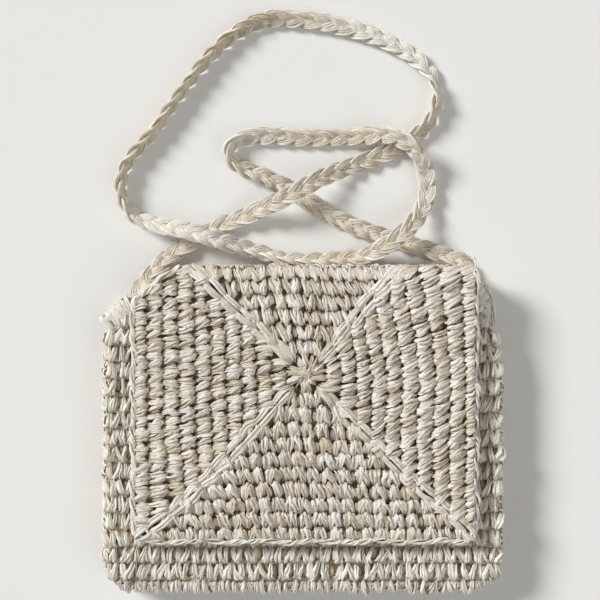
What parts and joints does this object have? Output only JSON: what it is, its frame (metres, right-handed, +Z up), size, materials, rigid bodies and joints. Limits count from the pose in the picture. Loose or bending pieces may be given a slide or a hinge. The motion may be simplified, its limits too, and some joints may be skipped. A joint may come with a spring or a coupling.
{
  "type": "crossbody purse",
  "caption": "Crocheted raffia crossbody purse with a square flap, a lined pouch, a magnetic snap and a long braided shoulder strap.",
  "frame": {"origin": "centre of the purse, without its strap, on the surface that its back lies on", "axes": "+Z up out of the purse's front, +Y towards the fold of the flap, +X to the right seen from above"},
  "size_m": [0.26, 0.3767, 0.0354],
  "materials": {
    "raffia": "satin",
    "raffia_shade": "satin",
    "raffia_cord": "satin",
    "raffia_wrap": "satin",
    "raffia_strap": "satin",
    "cotton": "matte",
    "cotton_tape": "matte",
    "snap_metal": "brushed"
  },
  "bodies": {
    "bag": {"back_panel": "raffia_shade", "front_panel": "raffia", "gusset": "raffia_shade", "top_band": "raffia", "back_seam_stitching": "raffia_cord", "front_seam_stitching": "raffia_cord", "mouth_edging": "raffia_cord", "lining_back": "cotton", "lining_front": "cotton", "lining_gusset": "cotton", "slip_pocket": "cotton", "pocket_binding": "cotton_tape", "snap_socket": "snap_metal", "snap_socket_patch": "cotton_tape", "strap_anchor_left": "raffia_wrap", "strap_anchor_right": "raffia_wrap", "strap": "raffia_strap"},
    "flap": {"flap_panel": "raffia", "flap_edging": "raffia_cord", "snap_stud": "snap_metal", "snap_stud_patch": "cotton_tape"}
  },
  "joints": [
    {"name": "flap_hinge", "type": "hinge", "parent": "bag", "child": "flap", "pos_m": [0, 0.102, 0.0294], "axis": [-1, 0, 0], "range_deg": [0, 180]}
  ]
}
